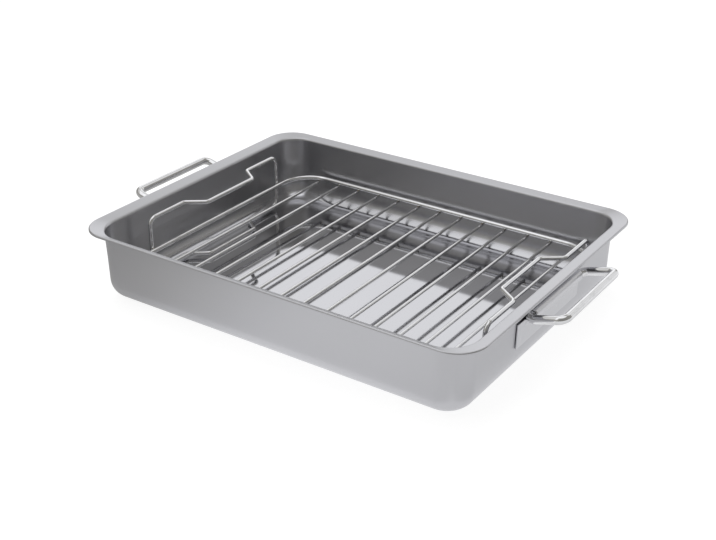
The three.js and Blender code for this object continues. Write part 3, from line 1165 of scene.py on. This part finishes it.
def floor_material(looks):
    """Pale floor that takes the pan's shadow and stays white to the camera."""
    material = bpy.data.materials.new("pale_floor")
    material.use_nodes = True
    graph = Graph(material.node_tree)
    paths = graph.add("ShaderNodeLightPath")
    to_camera, to_steel = paths["Is Camera Ray"], paths["Is Glossy Ray"]
    x, y, _ = graph.axes(graph.add("ShaderNodeTexCoord")["Object"])

    # What the steel mirrors is a painted glow on the floor, not light from the lamps: dim at the left,
    # bright in front and behind, and brighter at the pan's foot as painted bounce light
    mirrored = looks.floor_dim + graph.smooth(x, -0.26, 0.02) * (looks.floor_lit - looks.floor_dim)
    mirrored = mirrored - graph.smooth(x, 0.08, 0.2) * (looks.floor_lit - looks.floor_side)
    mirrored = mirrored + graph.smooth(y, 0.15, 0.5) * (looks.floor_behind - mirrored)
    shape = PanShape(values().pan)
    outside = graph.larger(abs(x) - shape.wall_x, abs(y) - shape.wall_y)
    # Painted bounce light: the glow that the steel sees on the floor rises close to the pan's foot
    at_foot = 1 - graph.smooth(outside, 0.0, 26 * MM)
    mirrored = mirrored * (1 + looks.floor_foot * at_foot)
    shine = to_camera * looks.floor_shown + to_steel * mirrored

    matt = graph.add("ShaderNodeBsdfDiffuse", None, {"Color": tuple(looks.floor_colour)})
    tint = graph.mix(mirrored * 1.7, WARM_LIGHT, COOL_LIGHT)
    tint = graph.mix(to_camera, tint, WHITE_LIGHT)
    shown = graph.add("ShaderNodeEmission", None, {"Color": tint, "Strength": shine})
    both = graph.add("ShaderNodeAddShader", None, {0: matt[0], 1: shown[0]})
    graph.add("ShaderNodeOutputMaterial", None, {"Surface": both[0]})
    return material


class ROASTINGPAN_OT_stage(bpy.types.Operator):
    """Set up the floor, the light and the camera"""

    bl_idname = "roasting_pan.stage"
    bl_label = "Stage"

    def execute(self, context):
        looks = values().stage
        scene = context.scene
        scene.view_settings.view_transform = "Standard"
        scene.world = studio_world(looks)

        reach = 6.0
        corners = [(-reach, -reach, 0), (reach, -reach, 0), (reach, reach, 0), (-reach, reach, 0)]
        mesh = mesh_of("floor", corners, [(0, 1, 2, 3)])
        mesh.materials.append(floor_material(looks))
        floor = bpy.data.objects.new("floor", mesh)
        scene.collection.objects.link(floor)

        lamp = bpy.data.lights.new("softbox", "AREA")
        lamp.shape = "RECTANGLE"
        lamp.size = 1.3
        lamp.size_y = 1.0
        lamp.energy = 7.0
        softbox = bpy.data.objects.new("softbox", lamp)
        softbox.location = (-0.35, 0.25, 1.7)
        aim = Vector(looks.target) - softbox.location
        softbox.rotation_euler = aim.to_track_quat("-Z", "Y").to_euler()
        softbox.visible_camera = False
        softbox.visible_glossy = False
        scene.collection.objects.link(softbox)

        camera = bpy.data.cameras.new("camera")
        camera.lens = looks.lens
        camera.sensor_width = 36.0
        camera.sensor_fit = "HORIZONTAL"
        viewer = bpy.data.objects.new("camera", camera)
        viewer.location = looks.camera
        sight = Vector(looks.target) - Vector(looks.camera)
        viewer.rotation_euler = sight.to_track_quat("-Z", "Y").to_euler()
        scene.collection.objects.link(viewer)
        scene.camera = viewer
        return {"FINISHED"}


class ROASTINGPAN_PT_panel(bpy.types.Panel):
    """Buttons for the roasting pan's pieces"""

    bl_idname = "ROASTINGPAN_PT_panel"
    bl_label = "Roasting pan"
    bl_space_type = "VIEW_3D"
    bl_region_type = "UI"
    bl_category = "Roasting pan"

    def draw(self, context):
        for operator in OPERATORS:
            self.layout.operator(operator.bl_idname)
        for group in ("pan", "handle", "rack", "steel", "stage"):
            box = self.layout.box()
            settings = getattr(values(), group)
            for name in settings.bl_rna.properties.keys():
                if name not in {"rna_type", "name"}:
                    box.prop(settings, name)


GROUPS = (PanSizes, HandleSizes, RackSizes, SteelLooks, StageLooks, RoastingPan)
OPERATORS = (
    ROASTINGPAN_OT_stage,
    ROASTINGPAN_OT_pan,
    ROASTINGPAN_OT_brackets,
    ROASTINGPAN_OT_handles,
    ROASTINGPAN_OT_ring,
    ROASTINGPAN_OT_cross_wires,
    ROASTINGPAN_OT_end_frames,
    ROASTINGPAN_OT_welds,
)


def register():
    for cls in (*GROUPS, *OPERATORS, ROASTINGPAN_PT_panel):
        bpy.utils.register_class(cls)
    bpy.types.Scene.roasting_pan = PointerProperty(type=RoastingPan)


def unregister():
    del bpy.types.Scene.roasting_pan
    for cls in reversed((*GROUPS, *OPERATORS, ROASTINGPAN_PT_panel)):
        bpy.utils.unregister_class(cls)


def main():
    register()
    bpy.ops.roasting_pan.stage()
    bpy.ops.roasting_pan.pan()
    bpy.ops.roasting_pan.brackets()
    bpy.ops.roasting_pan.handles()
    bpy.ops.roasting_pan.ring()
    bpy.ops.roasting_pan.cross_wires()
    bpy.ops.roasting_pan.end_frames()
    bpy.ops.roasting_pan.welds()


if __name__ == "__main__":
    main()
